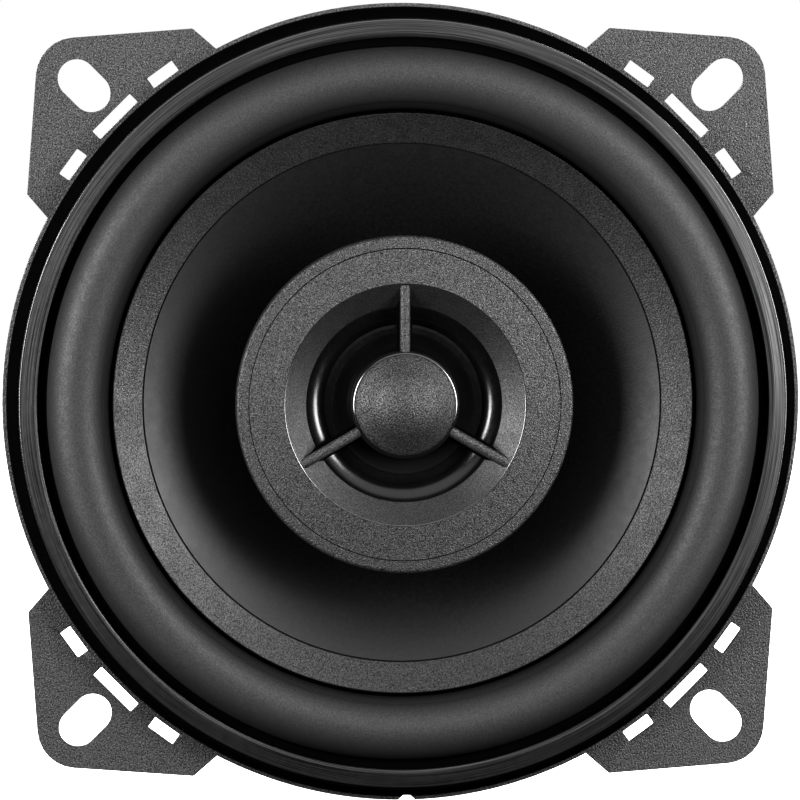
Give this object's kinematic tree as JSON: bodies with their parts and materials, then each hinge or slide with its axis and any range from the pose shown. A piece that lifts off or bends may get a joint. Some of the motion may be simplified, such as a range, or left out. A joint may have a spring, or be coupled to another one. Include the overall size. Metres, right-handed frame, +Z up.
{
  "type": "coaxial car speaker",
  "caption": "Round two-way car speaker with four slotted ears, a cone on a rubber surround and a dome tweeter held over its middle.",
  "frame": {"origin": "centre of the panel cutout, in the plane of the ears' rear faces", "axes": "-Y towards the listener, +Z up with the terminals at the bottom, +X to the listener's right"},
  "size_m": [0.104, 0.0552, 0.104],
  "materials": {
    "black_powder_coat": "matt black powder coat with a fine grain",
    "satin_grey_trim": "satin grey with fine turned lines",
    "black_rubber": "satin black rubber",
    "amber_cloth": "resin-dipped cotton",
    "zinc_plated_steel": "bright zinc plating",
    "ferrite": "ground dark ferrite",
    "grey_moulded_plastic": "satin dark grey moulding",
    "black_plastic": "matt black moulding",
    "bare_neodymium": "nickel plated",
    "glossy_black_film": "glossy black film",
    "copper_winding": "enamelled wire",
    "grey_injected_cone": "fine rough matt grey",
    "black_felt": "black felt",
    "polyimide_film": "amber film",
    "brown_phenolic": "laminated board",
    "tinned_brass": "tinned",
    "black_sleeve": "shrink sleeve",
    "lead_insulation": "red PVC",
    "lead_insulation_dark": "black PVC",
    "tinsel_braid": "fine braided wire"
  },
  "bodies": {
    "frame": {"basket": "black_powder_coat", "trim_ring": "satin_grey_trim", "surround": "black_rubber", "spider": "amber_cloth", "top_plate": "zinc_plated_steel", "magnet": "ferrite", "yoke": "zinc_plated_steel", "frame_rivet_1": "zinc_plated_steel", "frame_rivet_2": "zinc_plated_steel", "frame_rivet_3": "zinc_plated_steel", "frame_rivet_4": "zinc_plated_steel", "tweeter_post": "zinc_plated_steel", "post_washer": "zinc_plated_steel", "post_nut": "zinc_plated_steel", "tweeter_housing": "grey_moulded_plastic", "tweeter_bezel": "grey_moulded_plastic", "tweeter_frame": "black_plastic", "tweeter_yoke": "zinc_plated_steel", "tweeter_magnet": "bare_neodymium", "tweeter_pole_plate": "zinc_plated_steel", "tweeter_surround": "glossy_black_film", "terminal_board": "brown_phenolic", "board_rivet_1": "zinc_plated_steel", "board_rivet_2": "zinc_plated_steel", "terminal_tab_positive": "tinned_brass", "terminal_tab_negative": "tinned_brass", "tab_rivet_positive": "zinc_plated_steel", "tab_rivet_negative": "zinc_plated_steel", "crossover_capacitor": "black_sleeve", "tweeter_lead_positive": "lead_insulation", "tweeter_lead_negative": "lead_insulation_dark", "tinsel_lead_positive": "tinsel_braid", "tinsel_lead_negative": "tinsel_braid"},
    "cone_group": {"cone": "grey_injected_cone", "dust_seal": "black_felt", "voice_coil_former": "polyimide_film", "voice_coil": "copper_winding"},
    "tweeter_dome_group": {"tweeter_dome": "glossy_black_film", "tweeter_voice_coil": "copper_winding"}
  },
  "joints": [
    {"name": "cone_excursion", "type": "slide", "parent": "frame", "child": "cone_group", "axis": [0, -1, 0], "range_m": [-0.003, 0.003], "stiffness_N_per_m": 1800, "deforming": ["surround", "spider", "tinsel_lead_positive", "tinsel_lead_negative"]},
    {"name": "tweeter_dome_travel", "type": "slide", "parent": "frame", "child": "tweeter_dome_group", "axis": [0, -1, 0], "range_m": [-0.0003, 0.0003], "stiffness_N_per_m": 2000, "deforming": ["tweeter_surround"]}
  ]
}
